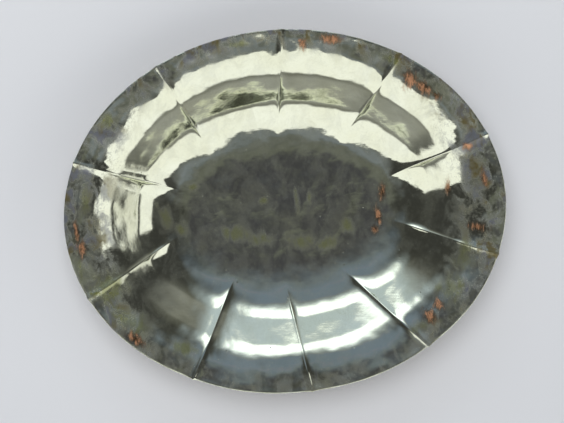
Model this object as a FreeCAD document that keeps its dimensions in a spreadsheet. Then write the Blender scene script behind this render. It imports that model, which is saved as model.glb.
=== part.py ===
"""Oval ten-lobed serving tray, raised by hammer from one sheet of copper.

The tray lies on its flat floor with +Z up. The origin is the centre of the floor's underside,
+X runs along the long axis and +Y along the short one. All lengths are millimetres.

The driving dimensions are in the spreadsheet "dimensions". The sketch "section_profile" is the
upper face's section through the middle of a lobe, from the flat floor out to the rim. Ten ridges
run from the floor to the rim, and each lobe between two ridges has three spline skins: the upper
face, the rounded rim edge and the lower face. With the two flat oval floor faces they close into
one solid.
"""

import FreeCAD, Part

import math
import os

import Sketcher

SECTION_STATIONS = 25  # points along the section, from the floor to the rim
EDGE_STATIONS = 5  # points round the half-round rim edge
# Points across a lobe, as fractions of the way from one ridge to the next: close together at the creases.
HALF_LOBE = (0.0, 0.025, 0.06, 0.11, 0.18, 0.28, 0.39)
LOBE_FRACTIONS = HALF_LOBE + (0.5,) + tuple(1 - fraction for fraction in reversed(HALF_LOBE))

LENGTHS = {
    "half_length": (200.0, "rim half length, along X"),
    "half_width": (165.0, "rim half width, along Y"),
    "sheet_thickness": (1.2, "copper sheet"),
    "band_run": (119.7, "plan distance from the rim in to the edge of the flat floor"),
    "foot_radius": (170.0, "gentle hollow curve round the flat floor"),
    "foot_run": (32.4, "plan width of that gentle curve"),
    "cove_radius": (51.0, "tighter hollow curve up into the wall"),
    "wall_run": (19.6, "plan width of the straight wall"),
    "shoulder_radius": (53.0, "rounded curve from the wall out to the flange"),
    "wall_sag": (2.0, "how far a lobe hangs below its ridges at the wall"),
    "rim_crown": (3.6, "how far a lobe stands above its two ends at the rim"),
    "flare_height": (1.8, "broad rise of the lobes up to a ridge"),
    "flare_reach": (10.0, "distance over which that rise fades by a factor e"),
    "crest_height": (1.3, "sharp crest on top of a ridge"),
    "crest_reach": (2.6, "distance over which that crest fades by a factor e"),
    "ridge_run": (97.0, "plan distance from the rim in to where the ridges begin"),
    "ridge_lead": (34.0, "plan distance over which a ridge grows out of the floor"),
    "corner_reach": (0.8, "how far the rim stands out at a ridge"),
}
ANGLES = {
    "wall_angle": (43.0, "steepness of the wall above the floor"),
    "flange_angle": (9.0, "steepness of the flange"),
}
# Where each ridge's line meets the rim and the flat floor's edge: the oval's own angle, in degrees from +X.
RIDGE_ANGLES = (
    (21.5, 18.0),
    (56.0, 59.5),
    (88.5, 92.5),
    (122.5, 131.0),
    (159.5, 159.5),
    (203.5, 190.0),
    (242.0, 241.0),
    (274.0, 264.5),
    (308.0, 294.0),
    (342.5, 348.0),
)


def fill_sheet(doc):
    """Make the spreadsheet of driving dimensions, one row each: note, value."""
    sheet = doc.addObject("Spreadsheet::Sheet", "dimensions")
    rows = {**LENGTHS, **ANGLES}
    for number, (at_rim, at_floor) in enumerate(RIDGE_ANGLES, start=1):
        rows[f"ridge_{number:02d}_rim"] = (at_rim, "angle where the ridge meets the rim")
        rows[f"ridge_{number:02d}_floor"] = (at_floor, "angle of the ridge's line where it leaves the flat floor")
    for row, (alias, (value, note)) in enumerate(rows.items(), start=1):
        sheet.set(f"A{row}", note)
        sheet.set(f"B{row}", str(value))
        sheet.setAlias(f"B{row}", alias)
    doc.recompute()
    return sheet


def add_section_sketch(doc, sheet):
    """Draw the section through a lobe: foot, cove, wall, shoulder and flange, each tangent to the next.

    The sketch's X is the plan distance outside the rim (so it is negative on the tray) and its Y is the
    height above the floor's upper face.
    """
    sketch = doc.addObject("Sketcher::SketchObject", "section_profile")
    upright = FreeCAD.Rotation(FreeCAD.Vector(1, 0, 0), 90)
    sketch.Placement = FreeCAD.Placement(FreeCAD.Vector(0, 0, 0), upright)

    steep = math.radians(sheet.wall_angle)
    shallow = math.radians(sheet.flange_angle)
    foot = sheet.foot_radius
    cove = sheet.cove_radius
    shoulder = sheet.shoulder_radius
    normal = FreeCAD.Vector(0, 0, 1)
    foot_slope = math.asin(sheet.foot_run / foot)
    foot_centre = FreeCAD.Vector(-sheet.band_run, foot, 0)
    cove_centre = foot_centre + FreeCAD.Vector(
        (foot - cove) * math.sin(foot_slope), (cove - foot) * math.cos(foot_slope), 0
    )
    cove_end = cove_centre + FreeCAD.Vector(cove * math.sin(steep), -cove * math.cos(steep), 0)
    wall_end = cove_end + FreeCAD.Vector(sheet.wall_run, sheet.wall_run * math.tan(steep), 0)
    shoulder_centre = wall_end + FreeCAD.Vector(
        shoulder * math.sin(steep), -shoulder * math.cos(steep), 0
    )
    shoulder_end = shoulder_centre + FreeCAD.Vector(
        -shoulder * math.sin(shallow), shoulder * math.cos(shallow), 0
    )
    rim = FreeCAD.Vector(0, shoulder_end.y - shoulder_end.x * math.tan(shallow), 0)

    foot_circle = Part.Circle(foot_centre, normal, foot)
    cove_circle = Part.Circle(cove_centre, normal, cove)
    shoulder_circle = Part.Circle(shoulder_centre, normal, shoulder)
    down = -math.pi / 2
    up = math.pi / 2
    foot_arc = sketch.addGeometry(Part.ArcOfCircle(foot_circle, down, down + foot_slope))
    cove_arc = sketch.addGeometry(Part.ArcOfCircle(cove_circle, down + foot_slope, down + steep))
    wall_line = sketch.addGeometry(Part.LineSegment(cove_end, wall_end))
    shoulder_arc = sketch.addGeometry(Part.ArcOfCircle(shoulder_circle, up + shallow, up + steep))
    flange_line = sketch.addGeometry(Part.LineSegment(shoulder_end, rim))

    start = 1
    end = 2
    centre = 3
    x_axis = -1
    y_axis = -2
    tangent_joints = (
        (foot_arc, end, cove_arc, start),
        (cove_arc, end, wall_line, start),
        (wall_line, end, shoulder_arc, end),
        (shoulder_arc, start, flange_line, start),
    )
    for joint in tangent_joints:
        sketch.addConstraint(Sketcher.Constraint("Tangent", *joint))
    sketch.addConstraint(Sketcher.Constraint("PointOnObject", foot_arc, start, x_axis))
    sketch.addConstraint(Sketcher.Constraint("PointOnObject", flange_line, end, y_axis))
    # The foot starts level, so its centre stands straight above its first point.
    sketch.addConstraint(Sketcher.Constraint("Vertical", foot_arc, start, foot_arc, centre))

    dimensions = (
        ("DistanceX", (foot_arc, start, flange_line, end), sheet.band_run, "band_run"),
        ("Radius", (foot_arc,), foot, "foot_radius"),
        ("DistanceX", (foot_arc, start, foot_arc, end), sheet.foot_run, "foot_run"),
        ("Radius", (cove_arc,), cove, "cove_radius"),
        ("DistanceX", (wall_line, start, wall_line, end), sheet.wall_run, "wall_run"),
        ("Radius", (shoulder_arc,), shoulder, "shoulder_radius"),
        ("Angle", (wall_line,), steep, "wall_angle * 1 deg"),
        ("Angle", (flange_line,), shallow, "flange_angle * 1 deg"),
    )
    for kind, geometry, value, source in dimensions:
        index = sketch.addConstraint(Sketcher.Constraint(kind, *geometry, value))
        sketch.setExpression(f"Constraints[{index}]", f"dimensions.{source}")
    doc.recompute()
    return sketch


def section_stations(sketch):
    """List (distance out from the rim, height, length of sheet per plan length) along the section."""
    wire = Part.Wire(Part.sortEdges(sketch.Shape.Edges)[0])
    points = wire.discretize(Number=SECTION_STATIONS)
    if points[0].x > points[-1].x:
        points.reverse()
    stations = []
    for index, point in enumerate(points):
        before = points[max(index - 1, 0)]
        after = points[min(index + 1, len(points) - 1)]
        steepness = (after.z - before.z) / (after.x - before.x)
        stations.append((point.x, point.z, math.hypot(1, steepness)))
    stations[0] = (points[0].x, 0.0, 1.0)
    return stations


def smooth_step(fraction):
    """Rise from 0 to 1 with level ends."""
    fraction = min(max(fraction, 0.0), 1.0)
    return fraction * fraction * (3 - 2 * fraction)


def ridge_pair(sheet, lobe):
    """The (rim, floor) angles of the two ridges beside a lobe, in degrees, the second one going on past 360."""
    first = lobe + 1
    second = (lobe + 1) % len(RIDGE_ANGLES) + 1
    turn = 360.0 if second < first else 0.0
    near = [getattr(sheet, f"ridge_{first:02d}_{end}") for end in ("rim", "floor")]
    far = [getattr(sheet, f"ridge_{second:02d}_{end}") + turn for end in ("rim", "floor")]
    return near, far


def lobe_point(sheet, lobe, across, station):
    """A point of the upper face: across is the way from this lobe's first ridge (0) to its second (1)."""
    outward, height, _ = station
    near, far = ridge_pair(sheet, lobe)
    rim_angle = math.radians(near[0] + (far[0] - near[0]) * across)
    floor_angle = math.radians(near[1] + (far[1] - near[1]) * across)
    span = math.radians(far[0] - near[0])
    out = 1 + outward / sheet.band_run
    climb = 1 + outward / sheet.ridge_run

    # Distance along the lobe to the nearer ridge, and how much of that ridge has grown at this station.
    half_length = sheet.half_length + outward
    half_width = sheet.half_width + outward
    lobe_width = span * math.hypot(
        half_length * math.sin(rim_angle), half_width * math.cos(rim_angle)
    )
    to_ridge = min(across, 1 - across) * lobe_width
    growth = smooth_step((sheet.ridge_run + outward) / sheet.ridge_lead)
    crest = math.exp(-to_ridge / sheet.crest_reach) * growth
    flare = math.exp(-to_ridge / sheet.flare_reach) * growth
    hollow = (2 * across - 1) ** 2 * growth
    sag = sheet.wall_sag * (1 - climb) - sheet.rim_crown * climb
    relief = sag * hollow + sheet.crest_height * crest + sheet.flare_height * flare

    reach = sheet.corner_reach * crest * climb
    floor_x = (sheet.half_length - sheet.band_run) * math.cos(floor_angle)
    floor_y = (sheet.half_width - sheet.band_run) * math.sin(floor_angle)
    rim_x = (sheet.half_length + reach) * math.cos(rim_angle)
    rim_y = (sheet.half_width + reach) * math.sin(rim_angle)

    return FreeCAD.Vector(
        floor_x + (rim_x - floor_x) * out,
        floor_y + (rim_y - floor_y) * out,
        sheet.sheet_thickness + height + relief,
    )


def spline_through(points, parameters):
    """The cubic spline through the points, with a knot at each parameter."""
    curve = Part.BSplineCurve()
    curve.interpolate(Points=points, Parameters=parameters)
    return curve


def skin(grid, row_parameters, column_parameters):
    """A spline surface through a grid of points: first along each row, then across the rows' poles.

    The poles on a border depend only on that border's points, so skins that share them meet exactly.
    """
    rows = [spline_through(points, column_parameters) for points in grid]
    row_poles = [row.getPoles() for row in rows]
    columns = [spline_through(list(poles), row_parameters) for poles in zip(*row_poles)]
    surface = Part.BSplineSurface()
    surface.buildFromPolesMultsKnots(
        [list(poles) for poles in zip(*(column.getPoles() for column in columns))],
        columns[0].getMultiplicities(),
        rows[0].getMultiplicities(),
        columns[0].getKnots(),
        rows[0].getKnots(),
        False,
        False,
        columns[0].Degree,
        rows[0].Degree,
    )
    return surface.toShape()


def lobe_faces(sheet, lobe, stations):
    """The upper face, rim edge and lower face of one lobe, with its upper and lower floor borders."""
    upper = []
    lower = []
    for station in stations:
        row = [lobe_point(sheet, lobe, across, station) for across in LOBE_FRACTIONS]
        drop = FreeCAD.Vector(0, 0, sheet.sheet_thickness * station[2])
        upper.append(row)
        lower.append([point - drop for point in row])

    # Half-round edge: from the upper rim row, out by half the sheet, to the lower rim row.
    edge = []
    for step in range(EDGE_STATIONS):
        turn = math.pi * step / (EDGE_STATIONS - 1)
        row = []
        for top, bottom in zip(upper[-1], lower[-1]):
            middle = (top + bottom) / 2
            radius = (top.z - bottom.z) / 2
            outward = FreeCAD.Vector(top.x / sheet.half_length**2, top.y / sheet.half_width**2, 0)
            outward.normalize()
            bulge = outward * (radius * math.sin(turn))
            row.append(middle + bulge + FreeCAD.Vector(0, 0, radius * math.cos(turn)))
        edge.append(row)

    along = [station[0] for station in stations]
    round_edge = [float(step) for step in range(EDGE_STATIONS)]
    across = list(LOBE_FRACTIONS)
    faces = [skin(upper, along, across), skin(edge, round_edge, across), skin(lower, along, across)]
    borders = [spline_through(rows[0], across).toShape() for rows in (upper, lower)]
    return faces, borders


def add_tray_sheet(doc, sheet, sketch):
    """The tray: ten lobes and the flat oval floor, closed into one solid."""
    stations = section_stations(sketch)
    faces = []
    floor_borders = []
    for lobe in range(len(RIDGE_ANGLES)):
        skins, borders = lobe_faces(sheet, lobe, stations)
        faces += skins
        floor_borders.append(borders)
    for edges in zip(*floor_borders):
        faces.append(Part.Face(Part.Wire(list(edges))))
    shell = Part.makeShell(faces)
    shell.sewShape()
    solid = Part.makeSolid(shell)

    tray = doc.addObject("Part::Feature", "tray_sheet")
    tray.Label = "tray_sheet"
    tray.Shape = solid
    tray.Placement = FreeCAD.Placement()
    return tray


def check_document(doc, subparts):
    """Stop if any object failed, or if a sub-part isn't one valid solid."""
    for item in doc.Objects:
        if "Invalid" in item.State or "Error" in item.State:
            raise RuntimeError(f"{item.Name} is {item.State}")
    for subpart in subparts:
        shape = subpart.Shape
        if shape.isNull() or not shape.isValid() or len(shape.Solids) != 1 or shape.Volume <= 0:
            raise RuntimeError(f"{subpart.Label} isn't one valid solid")


def main():
    doc = FreeCAD.newDocument("tray")
    sheet = fill_sheet(doc)
    sketch = add_section_sketch(doc, sheet)
    tray = add_tray_sheet(doc, sheet, sketch)
    doc.recompute()
    check_document(doc, [tray])

    os.makedirs("parts", exist_ok=True)
    tray.Shape.exportStep(f"parts/{tray.Label}.step")
    box = tray.Shape.BoundBox
    print(f"{tray.Label}: {box.XLength:.1f} x {box.YLength:.1f} x {box.ZLength:.1f} mm")
    print(f"lowest {box.ZMin:.4f} mm, copper {tray.Shape.Volume / 1000:.1f} cm3")


main()
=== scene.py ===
"""Looks of the oval ten-lobed tray: one hammered sheet, silver-coloured plate worn to copper in places.

The tray's shape is the CAD part's, worked out again on a fine grid, with the hammer's marks in the
mesh. Lengths in the shape code are millimetres, as in the CAD source, and MM turns them into metres.
The tray lies flat: x runs along it, y across it, and z is up.
"""

import math
from collections import namedtuple

import bpy
import numpy as np
from mathutils import Matrix, Vector
from mathutils.kdtree import KDTree


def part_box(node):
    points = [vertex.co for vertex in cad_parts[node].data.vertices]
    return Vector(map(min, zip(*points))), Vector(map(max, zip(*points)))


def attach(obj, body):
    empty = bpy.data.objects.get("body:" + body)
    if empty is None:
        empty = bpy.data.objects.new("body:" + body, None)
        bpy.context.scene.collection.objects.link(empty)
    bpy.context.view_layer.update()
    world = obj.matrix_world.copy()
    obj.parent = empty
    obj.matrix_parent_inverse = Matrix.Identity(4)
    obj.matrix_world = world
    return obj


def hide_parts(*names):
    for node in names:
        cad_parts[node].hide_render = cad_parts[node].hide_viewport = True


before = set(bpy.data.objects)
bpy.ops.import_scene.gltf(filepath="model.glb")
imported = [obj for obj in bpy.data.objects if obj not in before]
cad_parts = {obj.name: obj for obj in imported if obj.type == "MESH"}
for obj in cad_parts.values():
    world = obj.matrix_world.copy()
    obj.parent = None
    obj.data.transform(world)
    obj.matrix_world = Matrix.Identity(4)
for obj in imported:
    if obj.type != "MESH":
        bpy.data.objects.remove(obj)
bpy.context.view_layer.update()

NODE = "tray_sheet"
MM = 0.001
LOW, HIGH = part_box(NODE)

# ---------------------------------------------------------------- shape of the sheet, in millimetres

HALF_LENGTH = 200.0
HALF_WIDTH = 165.0
THICKNESS = 1.2

# Section, from the flat floor's edge outward and up to the rim.
BAND_RUN = 119.7
FOOT_RADIUS = 170.0
FOOT_RUN = 32.4
COVE_RADIUS = 51.0
WALL_RUN = 19.6
WALL_ANGLE = math.radians(43.0)
SHOULDER_RADIUS = 53.0
FLANGE_ANGLE = math.radians(9.0)

# Lobes: how far their edges sag at the wall and drop at the rim, and how they swell into the ridges.
WALL_SAG = 2.0
RIM_CROWN = 3.6
FLARE_HEIGHT = 1.8
FLARE_REACH = 10.0
CREST_HEIGHT = 1.3
CREST_REACH = 2.6
CORNER_REACH = 0.8
RIDGE_RUN = 97.0
RIDGE_LEAD = 34.0

# Angles of the ten ridges round the oval, in degrees: where each meets the rim and the floor's edge.
RIDGE_RIM = (21.5, 56.0, 88.5, 122.5, 159.5, 203.5, 242.0, 274.0, 308.0, 342.5)
RIDGE_FLOOR = (18.0, 59.5, 92.5, 131.0, 159.5, 190.0, 241.0, 264.5, 294.0, 348.0)
LOBES = len(RIDGE_RIM)

# Fineness of the mesh. LOBE_SPANS is a multiple of FLOOR_SIDES, so that the floor's rings close.
FLOOR_SIDES = 8
LOBE_SPANS = 56
BAND_RINGS = 96
UNDER_RINGS = 44
EDGE_STEPS = 4
CREST_CROWDING = 0.45  # how much closer together the points are at a crest than between, from 0 to 1
SECTION_SAMPLES = 400

# Hammer marks: a seed, the spacing of the blows and the depth of a mark, for each face of the sheet.
Hammer = namedtuple("Hammer", "seed pitch depth")
FACE_HAMMER = Hammer(11, 6.2, 0.045)
UNDER_HAMMER = Hammer(21, 9.0, 0.06)
BLOW_SCATTER = 0.22  # of a pitch, how far a blow strays from its place
MARK_WEIGHTS = (0.5, 1.4)
MARK_LEAN = 0.25
MARK_LIMIT = 1.3

# Gentle waves left by the work: a seed, the wavelengths and a height.
Waves = namedtuple("Waves", "seed lengths height")
FACE_WAVES = Waves(12, (52.0, 34.0, 22.0, 13.0), 0.25)
UNDER_WAVES = Waves(12, (52.0, 34.0), 0.25)
RIM_WAVES = Waves(13, (210.0, 130.0), 0.5)
WAVES_EACH = 4

INNER_STRENGTH = 0.4  # of the marks in the well and on the wall, next to those on the flange
FLANGE_START = (0.62, 0.82)  # where that changes, as part of the way from the floor's edge to the rim
CREST_QUIET = 0.7  # how much of the marks is missing on a ridge's crest
RIM_QUIET = 0.6  # and at the rim
RIM_START = (0.96, 1.0)
RIM_DROP = 0.42  # keeps the swaying rim's highest places no higher than the CAD's rim
UNDER_STRENGTH = 0.8
UNDER_SPARE = 0.06  # extra thickness, to make up for what the lower face's marks take away
UNDER_START = (0.0, 0.12)  # where those marks set in, clear of the ground, and where they die away
UNDER_END = (0.9, 1.0)


def smooth_rise(value, low, high):
    """0 below low, 1 above high, smooth between."""
    part = np.clip((value - low) / (high - low), 0, 1)
    return part * part * (3 - 2 * part)


def section_height(outward):
    """Height above the floor at a plan distance outside the rim (negative on the tray)."""
    steep, shallow = WALL_ANGLE, FLANGE_ANGLE
    foot_slope = math.asin(FOOT_RUN / FOOT_RADIUS)
    foot_end = FOOT_RUN - BAND_RUN
    cove_centre = foot_end - COVE_RADIUS * math.sin(foot_slope)
    cove_floor = (FOOT_RADIUS - COVE_RADIUS) * (1 - math.cos(foot_slope))
    cove_end = cove_centre + COVE_RADIUS * math.sin(steep)
    wall_end = cove_end + WALL_RUN
    shoulder_centre = wall_end + SHOULDER_RADIUS * math.sin(steep)
    shoulder_end = shoulder_centre - SHOULDER_RADIUS * math.sin(shallow)
    cove_top = cove_floor + COVE_RADIUS * (1 - math.cos(steep))
    wall_top = cove_top + WALL_RUN * math.tan(steep)
    centre_height = wall_top - SHOULDER_RADIUS * math.cos(steep)
    shoulder_top = centre_height + SHOULDER_RADIUS * math.cos(shallow)

    in_foot = np.clip(outward, -BAND_RUN, foot_end) + BAND_RUN
    in_cove = np.clip(outward, foot_end, cove_end) - cove_centre
    in_shoulder = np.clip(outward, wall_end, shoulder_end) - shoulder_centre
    foot = FOOT_RADIUS - np.sqrt(FOOT_RADIUS**2 - in_foot**2)
    cove = cove_floor + COVE_RADIUS - np.sqrt(COVE_RADIUS**2 - in_cove**2)
    wall = cove_top + (outward - cove_end) * math.tan(steep)
    shoulder = centre_height + np.sqrt(SHOULDER_RADIUS**2 - in_shoulder**2)
    flange = shoulder_top + (outward - shoulder_end) * math.tan(shallow)
    return np.select(
        [outward <= foot_end, outward <= cove_end, outward <= wall_end, outward <= shoulder_end],
        [foot, cove, wall, shoulder],
        flange,
    )


def lobe_surface(lobe, across, outward):
    """Smooth upper face, and nearness to a crest, from 0 to 1.

    The place is a lobe's number, the way across it (0 to 1) and the plan distance outside the rim.
    """
    rim = np.radians(np.append(RIDGE_RIM, RIDGE_RIM[0] + 360.0))
    floor = np.radians(np.append(RIDGE_FLOOR, RIDGE_FLOOR[0] + 360.0))
    span = rim[lobe + 1] - rim[lobe]
    rim_angle = rim[lobe] + span * across
    floor_angle = floor[lobe] + (floor[lobe + 1] - floor[lobe]) * across
    out = 1 + outward / BAND_RUN
    climb = 1 + outward / RIDGE_RUN

    lobe_width = span * np.hypot(
        (HALF_LENGTH + outward) * np.sin(rim_angle), (HALF_WIDTH + outward) * np.cos(rim_angle)
    )
    to_ridge = np.minimum(across, 1 - across) * lobe_width
    growth = smooth_rise(outward, -RIDGE_RUN, RIDGE_LEAD - RIDGE_RUN)
    crest = np.exp(-to_ridge / CREST_REACH) * growth
    flare = np.exp(-to_ridge / FLARE_REACH) * growth
    hollow = (2 * across - 1) ** 2 * growth
    sag = WALL_SAG * (1 - climb) - RIM_CROWN * climb
    relief = sag * hollow + CREST_HEIGHT * crest + FLARE_HEIGHT * flare

    reach = CORNER_REACH * crest * climb
    floor_x = (HALF_LENGTH - BAND_RUN) * np.cos(floor_angle)
    floor_y = (HALF_WIDTH - BAND_RUN) * np.sin(floor_angle)
    rim_x = (HALF_LENGTH + reach) * np.cos(rim_angle)
    rim_y = (HALF_WIDTH + reach) * np.sin(rim_angle)
    x = floor_x + (rim_x - floor_x) * out
    y = floor_y + (rim_y - floor_y) * out
    z = THICKNESS + section_height(outward) + relief
    return np.stack([x, y, z], axis=-1), crest


def around_lobes(spans):
    """Lobe number and way across for each point of a ring, closer together at the ridges."""
    step = np.arange(spans) / spans
    across = step - CREST_CROWDING * np.sin(2 * np.pi * step) / (2 * np.pi)
    return np.repeat(np.arange(LOBES), spans), np.tile(across, LOBES)


def band_rings(spans, rings):
    """Rings from the floor's edge to the rim, evenly spaced along the section, and their crests."""
    lobe, across = around_lobes(spans)
    samples = np.linspace(-BAND_RUN, 0, SECTION_SAMPLES)
    slope = np.gradient(section_height(samples), samples[1] - samples[0])
    length = np.concatenate([[0], np.cumsum(np.hypot(1, slope)[:-1])])
    stations = np.interp(np.linspace(0, length[-1], rings + 1), length, samples)
    return lobe_surface(lobe[None, :], across[None, :], stations[:, None])


def floor_grid(edge_ring):
    """Rings from the floor's centre to its edge, each with FLOOR_SIDES more points than the last."""
    count = len(edge_ring)
    rings = count // FLOOR_SIDES
    closed = np.vstack([edge_ring, edge_ring[:1]])
    grid = [np.array([[0.0, 0.0, edge_ring[0, 2]]])]
    for k in range(1, rings + 1):
        at = np.arange(FLOOR_SIDES * k) / (FLOOR_SIDES * k) * count
        low = np.floor(at).astype(int)
        part = (at - low)[:, None]
        on_edge = closed[low] * (1 - part) + closed[low + 1] * part
        grid.append(on_edge * np.array([k / rings, k / rings, 1.0]))
    return grid


# ---------------------------------------------------------------- hammer marks and hand irregularity


def wave_heights(points, waves):
    """Gentle unevenness: a sum of plane waves in seeded directions, as a height for each point."""
    draw = np.random.default_rng(waves.seed)
    total = np.zeros(len(points))
    for length in waves.lengths:
        height = waves.height * length / max(waves.lengths)
        for _ in range(WAVES_EACH):
            turn = draw.uniform(0, 2 * np.pi)
            phase = draw.uniform(0, 2 * np.pi)
            along = points[:, 0] * math.cos(turn) + points[:, 1] * math.sin(turn)
            total += height * np.sin(2 * np.pi * along / length + phase)
    return total / math.sqrt(WAVES_EACH)


def oval_round(half_length, half_width):
    """Length of the way round an ellipse (Ramanujan's formula)."""
    both = (3 * half_length + half_width) * (half_length + 3 * half_width)
    return math.pi * (3 * (half_length + half_width) - math.sqrt(both))


def hammer_blows(seed, pitch):
    """Centres of the blows: courses round the oval, a pitch apart, each blow shifted a little."""
    draw = np.random.default_rng(seed)
    blows = []
    for course in range(int(HALF_WIDTH / pitch) + 2):
        width = course * pitch
        length = width * HALF_LENGTH / HALF_WIDTH
        count = max(int(oval_round(length, width) / pitch), 1)
        turns = (np.arange(count) + draw.uniform(0, 1)) / count * 2 * np.pi
        shift = draw.normal(0, pitch * BLOW_SCATTER, (count, 2))
        blows.append(np.stack([length * np.cos(turns), width * np.sin(turns)], axis=-1) + shift)
    return np.vstack(blows)


def mark_heights(points, hammer):
    """Hammer marks: a shallow, slightly tilted bowl at each blow, meeting its neighbours in low ridges."""
    blows = hammer_blows(hammer.seed, hammer.pitch)
    draw = np.random.default_rng(hammer.seed + 1)
    weights = draw.uniform(*MARK_WEIGHTS, len(blows))
    tilts = draw.normal(0, 1, (len(blows), 2))
    tree = KDTree(len(blows))
    for index, blow in enumerate(blows):
        tree.insert((blow[0], blow[1], 0), index)
    tree.balance()
    heights = np.empty(len(points))
    for row, point in enumerate(points):
        blow, index, distance = tree.find((point[0], point[1], 0))
        tilt_x, tilt_y = tilts[index]
        lean = (tilt_x * (point[0] - blow[0]) + tilt_y * (point[1] - blow[1])) / hammer.pitch
        bowl = weights[index] * min(distance / hammer.pitch * 2, MARK_LIMIT) ** 2
        heights[row] = hammer.depth * (bowl + MARK_LEAN * lean)
    return heights


def relief(points, hammer, waves):
    """Marks and waves together, as a height for each point."""
    return mark_heights(points, hammer) + wave_heights(points, waves)


def grid_relief(grid, hammer, waves):
    """The same for a grid of rings."""
    return relief(grid.reshape(-1, 3), hammer, waves).reshape(grid.shape[:2])


def rim_sway(grid, at_rim):
    """Rise and fall of the rim, dying away towards the floor, for a grid of rings."""
    sway = wave_heights(grid.reshape(-1, 3), RIM_WAVES) - RIM_DROP
    return sway.reshape(grid.shape[:2]) * at_rim**2


def ring_normals(grid):
    """Unit normals of a grid of rings, pointing up."""
    outward = np.gradient(grid, axis=0)
    along = np.roll(grid, -1, axis=1) - np.roll(grid, 1, axis=1)
    normal = np.cross(outward, along)
    return normal / np.linalg.norm(normal, axis=-1, keepdims=True)


# ---------------------------------------------------------------- the sheet as one closed mesh


class Sheet:
    """Collects points and faces of the closed sheet."""

    def __init__(self):
        self.points = []
        self.faces = []
        self.count = 0

    def add(self, points):
        """Add points and give back their indices."""
        first = self.count
        self.points.append(points)
        self.count += len(points)
        return np.arange(first, self.count)

    def face(self, corners, up):
        """One face, with its corners turned round for the lower side."""
        self.faces.append(corners if up else corners[::-1])

    def strip(self, inner, outer, up):
        """Faces between two rings with the same number of points."""
        for corners in zip(inner, outer, np.roll(outer, -1), np.roll(inner, -1)):
            self.face(corners, up)

    def halving_strip(self, fine, coarse):
        """Faces on the lower side between a ring and the one inside it, which has half its points."""
        for k, here in enumerate(coarse):
            after = coarse[(k + 1) % len(coarse)]
            first, middle, last = fine[2 * k], fine[2 * k + 1], fine[(2 * k + 2) % len(fine)]
            for corners in ((here, first, middle), (here, middle, after), (after, middle, last)):
                self.face(corners, False)

    def disc(self, rings, up):
        """Faces of a floor grid, from its centre point out to its edge."""
        for k in range(1, len(rings)):
            inner, outer = rings[k - 1], rings[k]
            for side in range(FLOOR_SIDES):
                for step in range(k):
                    start = side * k + step
                    a, b = outer[start], outer[(start + 1) % len(outer)]
                    c = inner[(side * (k - 1) + step) % len(inner)]
                    self.face((c, a, b), up)
                    if step < k - 1:
                        d = inner[(side * (k - 1) + step + 1) % len(inner)]
                        self.face((c, b, d), up)

    def side(self, floor, band, up):
        """A floor grid and the rings of the band round it. Gives back the outermost ring's indices."""
        floor_rings = [self.add(ring) for ring in floor]
        self.disc(floor_rings, up)
        previous = floor_rings[-1]
        for ring in band:
            current = self.add(ring)
            self.strip(previous, current, up)
            previous = current
        return previous


def upper_face():
    """Hammered floor grid and band of the upper face."""
    smooth, crests = band_rings(LOBE_SPANS, BAND_RINGS)
    at_rim = np.linspace(0, 1, BAND_RINGS + 1)[:, None]
    quiet = (1 - CREST_QUIET * crests) * (1 - RIM_QUIET * smooth_rise(at_rim, *RIM_START))
    strength = INNER_STRENGTH + (1 - INNER_STRENGTH) * smooth_rise(at_rim, *FLANGE_START)
    marks = grid_relief(smooth, FACE_HAMMER, FACE_WAVES) * quiet * strength
    band = smooth + ring_normals(smooth) * marks[..., None]
    band[..., 2] += rim_sway(smooth, at_rim)

    rings = floor_grid(smooth[0])
    floor = np.vstack(rings)
    floor[:, 2] += relief(floor, FACE_HAMMER, FACE_WAVES) * INNER_STRENGTH
    ends = np.cumsum([len(ring) for ring in rings])
    return np.split(floor, ends[:-1]), band[1:]


def lower_face():
    """Floor grid and band of the lower face, one sheet below the upper one and half as fine.

    The floor stays flat, for the tray to stand on. The band stops a ring short of the rim.
    """
    smooth, _ = band_rings(LOBE_SPANS // 2, UNDER_RINGS)
    at_rim = np.linspace(0, 1, UNDER_RINGS + 1)[:, None]
    marks = UNDER_SPARE - UNDER_STRENGTH * grid_relief(smooth, UNDER_HAMMER, UNDER_WAVES)
    marks *= smooth_rise(at_rim, *UNDER_START) * (1 - smooth_rise(at_rim, *UNDER_END))
    band = smooth - ring_normals(smooth) * (THICKNESS + marks)[..., None]
    band[..., 2] += rim_sway(smooth, at_rim)
    floor_edge = smooth[0] - np.array([0, 0, THICKNESS])
    return floor_grid(floor_edge), band[1:-1]


def round_edge(rim):
    """Rings round the sheet's cut edge: a half circle from the upper rim down to the lower one."""
    out_from_rim = rim[:, :2] / np.array([HALF_LENGTH**2, HALF_WIDTH**2])
    out_from_rim /= np.linalg.norm(out_from_rim, axis=1, keepdims=True)
    radius = THICKNESS / 2
    rings = []
    for step in range(1, EDGE_STEPS + 1):
        turn = math.pi * step / EDGE_STEPS
        ring = rim.copy()
        ring[:, :2] += out_from_rim * (radius * math.sin(turn))
        ring[:, 2] -= radius * (1 - math.cos(turn))
        rings.append(ring)
    return rings


def build_sheet():
    """The whole sheet as points, faces, and which points belong to the lower face."""
    sheet = Sheet()
    floor, band = upper_face()
    edge = round_edge(band[-1])
    upper_end = sheet.side(floor, [*band, *edge], True)
    first_below = sheet.count
    floor, band = lower_face()
    lower_end = sheet.side(floor, band, False)
    sheet.halving_strip(upper_end, lower_end)
    points = np.vstack(sheet.points)
    return points, sheet.faces, np.arange(len(points)) >= first_below


# ---------------------------------------------------------------- where the sheet is tarnished and worn

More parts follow.
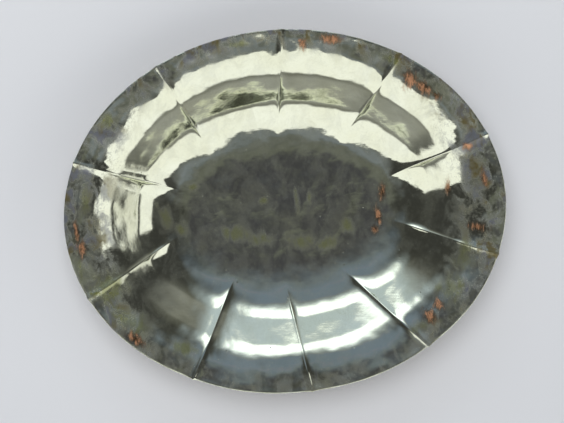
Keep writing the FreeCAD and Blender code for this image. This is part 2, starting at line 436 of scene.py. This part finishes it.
FILM_THIN = 0.035  # the film's strength in the well
FILM_THICK = 0.36  # what it gains at the rim
FILM_REACH = 24.0  # how far in from the rim that goes, in millimetres
FILM_END_REACH = 46.0  # and how much farther at the tray's two ends
FRONT_CLEAN = 0.7  # how much of it is missing along the front
UNDER_FILM = 0.35
END_START = (0.55, 0.90)  # where an end begins, as parts of the half length
FRONT_START = (0.35, 0.75)  # and where the front does, as parts of the half width

# Patches, placed from the photo: x, y, half length, half width and turn in degrees.
WORN = (
    # back edge
    (50, 154, 11, 5, -10), (24, 152, 4, 6, 0), (119, 114, 8, 10, 20), (131, 106, 10, 7, -40),
    (142, 98, 6, 4, -45),
    # well's right edge, and right end
    (93, 10, 4, 10, -10), (88, -12, 4, 10, 5), (84, -25, 4, 5, 0), (151, 12, 3, 8, 0),
    (168, 50, 5, 4, 0), (182, 20, 3, 10, 8), (174, -24, 11, 5, -15), (126, -103, 7, 9, 30),
    (134, -93, 6, 7, 0),
    # left end
    (-190, -5, 3, 13, 4), (-186, -20, 4, 9, 0), (-144, -106, 12, 5, -40),
)
SMEARS = (
    # well
    (-112, 2, 8, 15, 25), (-96, -14, 7, 10, 35), (-48, -20, 20, 9, -12), (-22, -27, 16, 9, 0),
    (12, -33, 18, 9, 0), (38, -35, 14, 8, 10), (58, -20, 7, 10, 35), (-84, 26, 7, 5, 0),
    (-19, 9, 5, 4, 0), (12, 8, 3, 14, 0), (24, 10, 3, 10, 0),
    # left end
    (-181, 23, 7, 20, 0), (-189, -40, 6, 18, 10), (-166, -58, 22, 20, 0), (-146, -90, 24, 12, -35),
    (-100, -118, 16, 8, -20), (-154, 94, 8, 8, 0),
    # right end and back edge
    (148, -79, 14, 20, -30), (160, -52, 12, 18, 0), (118, -112, 16, 8, 30), (-32, 155, 15, 4, 0),
    (100, 134, 14, 5, -35),
)


def patches(points, places):
    """How near each point is to the middle of a patch: 1 there, fading out at its edge."""
    nearest = np.zeros(len(points))
    for x, y, half_length, half_width, turn in places:
        cosine, sine = math.cos(math.radians(turn)), math.sin(math.radians(turn))
        along = ((points[:, 0] - x) * cosine + (points[:, 1] - y) * sine) / half_length
        aside = ((points[:, 1] - y) * cosine - (points[:, 0] - x) * sine) / half_width
        nearest = np.maximum(nearest, np.exp(-(along**2) - aside**2))
    return nearest


def tarnish(points):
    """The film's strength: thin in the well, thick on the flange and widest at the tray's two ends."""
    across, along = points[:, 1] / HALF_WIDTH, points[:, 0] / HALF_LENGTH
    inward = (1 - np.hypot(across, along)) * HALF_WIDTH
    end = smooth_rise(np.abs(along), *END_START)
    front = smooth_rise(-across, *FRONT_START) * (1 - end)
    reach = FILM_REACH + FILM_END_REACH * end
    flange = smooth_rise(-inward, -reach, 0) * (1 - FRONT_CLEAN * front)
    return FILM_THIN + FILM_THICK * flange


def paint(mesh, name, values):
    """Give the mesh one value for each point, for its material to read."""
    layer = mesh.attributes.new(name, "FLOAT", "POINT")
    layer.data.foreach_set("value", values.astype(np.float32))


def link(name, data):
    """A new object in the scene."""
    item = bpy.data.objects.new(name, data)
    bpy.context.collection.objects.link(item)
    return item


def add_mesh(name, points, faces):
    """An object from points in metres."""
    mesh = bpy.data.meshes.new(name)
    mesh.from_pydata(points, [], faces)
    mesh.validate()
    mesh.update()
    return link(name, mesh)


# ---------------------------------------------------------------- node helper


class Nodes:
    """Short calls for building a node tree."""

    def __init__(self, tree):
        self.tree = tree
        tree.nodes.clear()

    def new(self, kind, inputs=None, **settings):
        """A node with its inputs fed and its settings made."""
        node = self.tree.nodes.new(kind)
        for name, value in settings.items():
            setattr(node, name, value)
        for name, value in (inputs or {}).items():
            self.feed(node.inputs[name], value)
        return node

    def feed(self, socket, value):
        """Link another node's output to a socket, or set the socket's value."""
        if isinstance(value, bpy.types.NodeSocket):
            self.tree.links.new(value, socket)
        else:
            socket.default_value = value

    def finish(self, kind, shader):
        """The tree's output node, with the shader as its surface."""
        self.new(kind, {"Surface": shader.outputs[0]})

    def attribute(self, name):
        return self.new("ShaderNodeAttribute", attribute_name=name).outputs["Fac"]

    def math(self, operation, first, second=0.0, clamp=False):
        node = self.new("ShaderNodeMath", {0: first, 1: second}, operation=operation, use_clamp=clamp)
        return node.outputs[0]

    def add(self, first, second):
        return self.math("ADD", first, second)

    def minus(self, first, second):
        return self.math("SUBTRACT", first, second)

    def times(self, first, second, clamp=False):
        return self.math("MULTIPLY", first, second, clamp)

    def larger(self, first, second):
        return self.math("MAXIMUM", first, second)

    def dot(self, vector, direction):
        node = self.new("ShaderNodeVectorMath", {0: vector, 1: direction}, operation="DOT_PRODUCT")
        return node.outputs["Value"]

    def rise(self, value, low, high):
        """0 below low, 1 above high, smooth between."""
        node = self.new(
            "ShaderNodeMapRange",
            {"Value": value, "From Min": low, "From Max": high, "To Min": 0.0, "To Max": 1.0},
            interpolation_type="SMOOTHSTEP",
        )
        return node.outputs["Result"]

    def span(self, value, low, high, low_soft, high_soft):
        """1 between low and high, with soft ends."""
        up = self.rise(value, low - low_soft, low + low_soft)
        down = self.rise(value, high - high_soft, high + high_soft)
        return self.times(up, self.minus(1.0, down))

    def mix(self, factor, first, second, blend="MIX"):
        """Two colours mixed, the second one's share being the factor.

        The node's sockets for numbers, vectors and colours share their names, so they go by index.
        """
        node = self.new("ShaderNodeMix", data_type="RGBA", blend_type=blend)
        self.feed(node.inputs[0], factor)
        self.feed(node.inputs[6], first)
        self.feed(node.inputs[7], second)
        return node.outputs[2]

    def noise(self, vector, scale, detail=3.0, roughness=0.55, distortion=0.0):
        """Noise from 0 to 1. The scale is one number, or a number for each axis."""
        if isinstance(scale, tuple):
            stretched = self.new("ShaderNodeVectorMath", {0: vector, 1: scale}, operation="MULTIPLY")
            vector, scale = stretched.outputs["Vector"], 1.0
        node = self.new(
            "ShaderNodeTexNoise",
            {
                "Vector": vector,
                "Scale": scale,
                "Detail": detail,
                "Roughness": roughness,
                "Distortion": distortion,
            },
        )
        return node.outputs[0]

    def frayed(self, value, amount, vector, *noise):
        """A value with noise added, up or down, so that it gives a ragged edge."""
        stray = self.minus(self.noise(vector, *noise), 0.5)
        return self.add(value, self.times(stray, amount))


def new_material(name):
    """A material and the nodes to build it with."""
    material = bpy.data.materials.new(name)
    material.use_nodes = True
    return material, Nodes(material.node_tree)


# ---------------------------------------------------------------- the plated, worn sheet

PLATE_PALE = (0.88, 0.915, 0.755, 1)
PLATE_DEEP = (0.82, 0.845, 0.66, 1)
FILM_COOL = (0.19, 0.20, 0.22, 1)
FILM_BROWN = (0.165, 0.14, 0.06, 1)
SMEAR_OLIVE = (0.22, 0.235, 0.05, 1)
COPPER_BRIGHT = (0.95, 0.50, 0.28, 1)
COPPER_DARK = (0.30, 0.13, 0.06, 1)
COPPER_HALO = (0.20, 0.12, 0.05, 1)
PIT_COLOUR = (0.06, 0.05, 0.04, 1)
UNDER_COLOUR = (0.42, 0.27, 0.18, 1)

# Noises: features to the metre (one number, or one for each axis), detail, roughness, distortion.
CLOUD = (26.0, 5.0, 0.62)
MOTTLE = ((62.0, 44.0, 50.0), 5.0, 0.62, 0.5)
SPECK = (300.0, 5.0, 0.7)
HUE = ((60.0, 34.0, 40.0), 5.0, 0.6)
SMUDGE = ((105.0, 44.0, 60.0), 5.0, 0.66, 0.6)
STREAK = ((260.0, 105.0, 260.0), 8.0, 0.74, 0.5)
COPPER_GRAIN = (520.0, 5.0, 0.75)
PIT_AREA = (48.0, 2.0)
GRAIN = (420.0, 5.0, 0.62)
LINES = ((60.0, 900.0, 60.0), 2.0)
PITS_PER_METRE = 95.0

# Values between which each pattern sets in.
PLATE_DEEPENS = (0.3, 0.7)
MOTTLE_EDGE = (0.42, 0.62)
SPECK_EDGE = (0.48, 0.66)
HUE_EDGE = (0.44, 0.60)
SMEAR_EDGE = (0.18, 1.1)
SMEAR_LIMIT = (0.02, 0.40)
COPPER_EDGE = (0.35, 1.25)
COPPER_LIMIT = (0.03, 0.45)
HALO_EDGE = (0.05, 0.6)
PIT_EDGE = (0.03, 0.075)
PIT_AREA_EDGE = (0.52, 0.56)
UNDER_EDGE = (0.25, 0.75)
SMEAR_FRAY = 2.0  # how ragged the edges are
COPPER_FRAY = 3.6

MOTTLE_SHARE = 1.6  # how much mottles and specks make of the film
SPECK_SHARE = 0.5
SMEAR_FILM = 0.30  # the film's strength in a smear
FILM_COVER = 1.7  # how fast the film's colour hides the plate's
SMEAR_COVER = 0.75
COPPER_COVER = 0.95
PIT_COVER = 0.7

COPPER_DULLNESS = 0.62
METAL_LOSS = 0.85  # of a wholly dull surface
PLATE_ROUGHNESS = 0.03
DULL_ROUGHNESS = 0.42  # what each of these adds to it
UNDER_ROUGHNESS = 0.22
CLOUD_ROUGHNESS = 0.04

LINE_SHARE = 0.5  # height of the polishing lines, next to the grain's
PIT_DEPTH = 6.0
GRAIN_STRENGTH = 0.6
GRAIN_HEIGHT = 0.00004


def film_and_smears(n, place):
    """The film's strength, smears included, and the smears: the mesh says where, noise breaks them up."""
    mottle = n.rise(n.noise(place, *MOTTLE), *MOTTLE_EDGE)
    speck = n.rise(n.noise(place, *SPECK), *SPECK_EDGE)
    broken = n.add(n.times(mottle, MOTTLE_SHARE), n.times(speck, SPECK_SHARE))
    film = n.times(n.attribute("tarnish"), broken, clamp=True)

    painted = n.attribute("smear")
    frayed = n.frayed(painted, SMEAR_FRAY, place, *SMUDGE)
    smear = n.times(n.rise(frayed, *SMEAR_EDGE), n.rise(painted, *SMEAR_LIMIT))
    return n.larger(film, n.times(smear, SMEAR_FILM)), smear


def bare_copper(n, place):
    """Where the plate has worn off, in upright streaks, and the stain round it."""
    painted = n.attribute("worn")
    frayed = n.frayed(painted, COPPER_FRAY, place, *STREAK)
    bare = n.times(n.rise(frayed, *COPPER_EDGE), n.rise(painted, *COPPER_LIMIT))
    halo = n.times(n.rise(frayed, *HALO_EDGE), painted)
    return bare, halo


def pits(n, place):
    """Small pits, in some places only."""
    cells = n.new("ShaderNodeTexVoronoi", {"Vector": place, "Scale": PITS_PER_METRE})
    pit = n.minus(1.0, n.rise(cells.outputs["Distance"], *PIT_EDGE))
    return n.times(pit, n.rise(n.noise(place, *PIT_AREA), *PIT_AREA_EDGE))


def plate_material():
    """Old silver-coloured plate on copper: yellowish, tarnished in patches, worn through in others."""
    material, n = new_material("worn_plate")
    place = n.new("ShaderNodeTexCoord").outputs["Object"]
    cloud = n.noise(place, *CLOUD)
    film, smear = film_and_smears(n, place)
    bare, halo = bare_copper(n, place)
    pit = pits(n, place)
    below = n.attribute("underside")

    # Colour, coat by coat: plate, film and smears, stain and copper, pits, and the underside's own.
    colour = n.mix(n.rise(cloud, *PLATE_DEEPENS), PLATE_PALE, PLATE_DEEP)
    hue = n.rise(n.noise(place, *HUE), *HUE_EDGE)
    film_colour = n.mix(smear, n.mix(hue, FILM_COOL, FILM_BROWN), SMEAR_OLIVE)
    cover = n.larger(n.times(film, FILM_COVER, clamp=True), n.times(smear, SMEAR_COVER))
    colour = n.mix(cover, colour, film_colour)
    colour = n.mix(halo, colour, COPPER_HALO)
    copper = n.mix(n.noise(place, *COPPER_GRAIN), COPPER_BRIGHT, COPPER_DARK)
    colour = n.mix(n.times(bare, COPPER_COVER), colour, copper)
    colour = n.mix(n.times(pit, PIT_COVER), colour, PIT_COLOUR)
    colour = n.mix(n.times(below, n.rise(cloud, *UNDER_EDGE)), colour, UNDER_COLOUR)

    dull = n.larger(film, n.times(bare, COPPER_DULLNESS))
    metal = n.minus(1.0, n.times(dull, METAL_LOSS))
    rough = n.add(n.times(dull, DULL_ROUGHNESS), PLATE_ROUGHNESS)
    rough = n.add(rough, n.times(below, UNDER_ROUGHNESS))
    rough = n.add(rough, n.times(cloud, CLOUD_ROUGHNESS))

    # Fine grain left by the hammer's face, fine polishing lines, and the pits.
    height = n.add(n.noise(place, *GRAIN), n.times(n.noise(place, *LINES), LINE_SHARE))
    height = n.minus(height, n.times(pit, PIT_DEPTH))
    bump = n.new(
        "ShaderNodeBump", {"Height": height, "Strength": GRAIN_STRENGTH, "Distance": GRAIN_HEIGHT}
    )
    shader = n.new(
        "ShaderNodeBsdfPrincipled",
        {"Base Color": colour, "Metallic": metal, "Roughness": rough, "Normal": bump.outputs["Normal"]},
    )
    n.finish("ShaderNodeOutputMaterial", shader)
    return material


# ---------------------------------------------------------------- studio, in metres

FLOOR_HALF = 15.0
FLOOR_GAP = 0.0002
FLOOR_COLOUR = (0.80, 0.81, 0.83, 1)
FLOOR_ROUGHNESS = 0.7

# Cards that show only as reflections. Each is a soft-edged rectangle, square to the direction given by
# its azimuth and angle from the zenith in degrees. Its sides, and its foot and top, are tangents of the
# angle from that direction, and so are the widths of its soft edges.
Card = namedtuple("Card", "azimuth from_zenith across upright soft_sides soft_foot soft_top colour")
CARDS = (
    # white sweep in front, and another to the right
    Card(270, 90, (-2.2, 4.0), (0.33, 2.25), 0.05, 0.05, 0.05, (1.0, 1.0, 1.0, 1)),
    Card(0, 90, (-0.12, 1.2), (0.27, 1.05), 0.04, 0.06, 0.06, (1.0, 1.0, 1.0, 1)),
    # soft box behind, and the glow round it
    Card(97, 61, (-0.52, 0.46), (-0.19, 0.21), 0.10, 0.06, 0.13, (1.45, 1.58, 1.72, 1)),
    Card(97, 58, (-0.66, 0.62), (-0.62, 0.22), 0.26, 0.14, 0.32, (0.50, 0.58, 0.68, 1)),
    # low strip under the right sweep
    Card(0, 90, (-0.50, 0.75), (0.06, 0.17), 0.06, 0.02, 0.02, (0.85, 0.85, 0.82, 1)),
    # bluish glow high up behind
    Card(95, 28, (-0.36, 0.36), (-0.6, 0.34), 0.22, 0.30, 0.28, (0.16, 0.20, 0.27, 1)),
)
CARD_LIMIT = (0.02, 0.06)  # cosines of the angle from its middle between which a card fades away

# The room's brightness from the zenith (0) to the horizon (1).
CEILING = (
    # dark round the camera
    (0.0, (0.050, 0.049, 0.062, 1)),
    (0.085, (0.056, 0.055, 0.066, 1)),
    # rings of paler ceiling, parted by narrow dark ones
    (0.115, (0.125, 0.13, 0.115, 1)),
    (0.150, (0.13, 0.135, 0.12, 1)),
    (0.158, (0.07, 0.075, 0.075, 1)),
    (0.166, (0.14, 0.145, 0.14, 1)),
    (0.185, (0.15, 0.155, 0.15, 1)),
    (0.192, (0.09, 0.10, 0.11, 1)),
    (0.200, (0.17, 0.19, 0.22, 1)),
    (0.235, (0.20, 0.22, 0.26, 1)),
    (0.270, (0.16, 0.17, 0.185, 1)),
    # dark walls, and a paler floor line
    (0.360, (0.07, 0.072, 0.07, 1)),
    (0.600, (0.05, 0.05, 0.048, 1)),
    (0.800, (0.12, 0.12, 0.11, 1)),
    (0.930, (0.32, 0.32, 0.31, 1)),
)
CEILING_PATCH = (0.12, 0.125, 0.12, 1)
PATCH_NOISE = ((22.0, 7.0, 7.0), 4.0, 0.6)
PATCH_EDGE = (0.35, 0.7)
PATCH_SHARE = 0.6
OVERHEAD_END = (0.25, 0.35)  # on the scale from zenith to horizon
DARK_ENDS = (0.042, 0.042, 0.042, 1)
HIGH_ENDS_START = (0.60, 0.90)  # how squarely along the tray the dark ends lie
LOW_ENDS_START = (0.60, 0.88)
HIGH_ENDS_SPAN = (0.10, 0.75, 0.03, 0.1)  # lowest, highest, and the softness of each
LOW_ENDS_SPAN = (0.3, 0.5)
BACKDROP = (0.62, 0.64, 0.68, 1)

LAMP_PLACE = Vector((-0.25, 0.7, 2.2))
LAMP_SIZE = 1.6
LAMP_POWER = 26.0

CAMERA_AZIMUTH = 108.8
CAMERA_FROM_ZENITH = 5.7
CAMERA_ROLL = 3.5
CAMERA_DISTANCE = 1.4
SENSOR_WIDTH = 36.0  # millimetres
FRAME_WIDTH = 0.5104  # what the frame's width covers at the rim's height
AIM_LEFT = 0.0038
AIM_UP = 0.0017


def add_floor():
    """A plain pale floor under the tray."""
    z = LOW.z - FLOOR_GAP
    corners = [
        (-FLOOR_HALF, -FLOOR_HALF, z),
        (FLOOR_HALF, -FLOOR_HALF, z),
        (FLOOR_HALF, FLOOR_HALF, z),
        (-FLOOR_HALF, FLOOR_HALF, z),
    ]
    floor = add_mesh("floor", corners, [(0, 1, 2, 3)])
    material, n = new_material("floor_paper")
    shader = n.new(
        "ShaderNodeBsdfPrincipled", {"Base Color": FLOOR_COLOUR, "Roughness": FLOOR_ROUGHNESS}
    )
    n.finish("ShaderNodeOutputMaterial", shader)
    floor.data.materials.append(material)


def aim(azimuth, from_zenith):
    """Unit vectors (towards, sideways, upward) of what lies in that direction, angles in degrees."""
    turn, tilt = math.radians(azimuth), math.radians(from_zenith)
    towards = Vector((math.sin(tilt) * math.cos(turn), math.sin(tilt) * math.sin(turn), math.cos(tilt)))
    sideways = Vector((math.sin(turn), -math.cos(turn), 0))
    return towards, sideways, sideways.cross(towards)


def card_seen(n, direction, card):
    """How much of a card a direction meets, from 0 to 1."""
    towards, sideways, upward = aim(card.azimuth, card.from_zenith)
    ahead = n.dot(direction, towards)
    depth = n.larger(ahead, CARD_LIMIT[0])
    side = n.math("DIVIDE", n.dot(direction, sideways), depth)
    lift = n.math("DIVIDE", n.dot(direction, upward), depth)
    wide = n.span(side, *card.across, card.soft_sides, card.soft_sides)
    tall = n.span(lift, *card.upright, card.soft_foot, card.soft_top)
    return n.times(n.times(wide, tall), n.rise(ahead, *CARD_LIMIT))


def room_light(n, direction):
    """The dim room round the cards: CEILING, uneven overhead, and dark at the tray's two ends."""
    from_zenith = n.math("ARCCOSINE", n.dot(direction, (0, 0, 1)))
    tilt = n.math("DIVIDE", from_zenith, math.pi / 2)
    ceiling = n.new("ShaderNodeValToRGB", {"Fac": tilt})
    ramp = ceiling.color_ramp
    while len(ramp.elements) < len(CEILING):
        ramp.elements.new(1.0)
    for element, (position, colour) in zip(ramp.elements, CEILING):
        element.position = position
        element.color = colour

    uneven = n.rise(n.noise(direction, *PATCH_NOISE), *PATCH_EDGE)
    overhead = n.minus(1.0, n.rise(tilt, *OVERHEAD_END))
    patch = n.times(n.times(uneven, PATCH_SHARE), overhead)
    light = n.mix(patch, ceiling.outputs["Color"], CEILING_PATCH)

    along = n.math("DIVIDE", n.dot(direction, (1, 0, 0)), n.math("SINE", from_zenith))
    along = n.math("ABSOLUTE", along)
    high_ends = n.times(n.rise(along, *HIGH_ENDS_START), n.span(tilt, *HIGH_ENDS_SPAN))
    low_ends = n.times(n.rise(along, *LOW_ENDS_START), n.rise(tilt, *LOW_ENDS_SPAN))
    return n.mix(n.larger(high_ends, low_ends), light, DARK_ENDS)


def add_surroundings():
    """A dim room with white sweeps and a soft box in it. The camera sees a plain pale backdrop instead."""
    world = bpy.data.worlds.new("studio")
    bpy.context.scene.world = world
    world.use_nodes = True
    n = Nodes(world.node_tree)
    direction = n.new("ShaderNodeTexCoord").outputs["Generated"]
    light = room_light(n, direction)
    for card in CARDS:
        light = n.mix(card_seen(n, direction, card), light, card.colour, blend="LIGHTEN")
    to_camera = n.new("ShaderNodeLightPath").outputs["Is Camera Ray"]
    background = n.new("ShaderNodeBackground", {"Color": n.mix(to_camera, light, BACKDROP)})
    n.finish("ShaderNodeOutputWorld", background)


def add_lamp():
    """A wide soft lamp overhead: it lights the floor and the film, and the plate doesn't mirror it."""
    data = bpy.data.lights.new("overhead", "AREA")
    data.shape = "DISK"
    data.size = LAMP_SIZE
    data.energy = LAMP_POWER
    lamp = link("overhead", data)
    lamp.location = LAMP_PLACE
    lamp.rotation_euler = (-LAMP_PLACE).to_track_quat("-Z", "Y").to_euler()
    lamp.visible_glossy = False
    lamp.visible_camera = False


def add_camera():
    """Nearly straight down into the tray, as the photo looks nearly square at it on its stand."""
    rim_centre = Vector(((LOW.x + HIGH.x) / 2, (LOW.y + HIGH.y) / 2, HIGH.z))
    back, _, _ = aim(CAMERA_AZIMUTH, CAMERA_FROM_ZENITH)
    roll = math.radians(CAMERA_ROLL)
    right = Vector((math.sin(roll), math.cos(roll), 0)).cross(back).normalized()
    up = back.cross(right)
    data = bpy.data.cameras.new("camera")
    data.sensor_width = SENSOR_WIDTH
    data.lens = SENSOR_WIDTH * CAMERA_DISTANCE / FRAME_WIDTH
    camera = link("camera", data)
    place = rim_centre + back * CAMERA_DISTANCE - right * AIM_LEFT + up * AIM_UP
    turn = Matrix((right, up, back)).transposed()
    camera.matrix_world = Matrix.Translation(place) @ turn.to_4x4()
    bpy.context.scene.camera = camera


# ---------------------------------------------------------------- the tray, the studio and the picture

points, faces, below = build_sheet()
tray = add_mesh("hammered_sheet", (points * MM).tolist(), faces)
tray.data.shade_smooth()
above = 1 - below
paint(tray.data, "underside", below)
paint(tray.data, "tarnish", tarnish(points) * above + UNDER_FILM * below)
paint(tray.data, "smear", patches(points, SMEARS) * above)
paint(tray.data, "worn", patches(points, WORN) * above)
tray.data.materials.append(plate_material())
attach(tray, "root")
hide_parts(NODE)

add_floor()
add_surroundings()
add_lamp()
add_camera()
bpy.context.scene.view_settings.view_transform = "Standard"
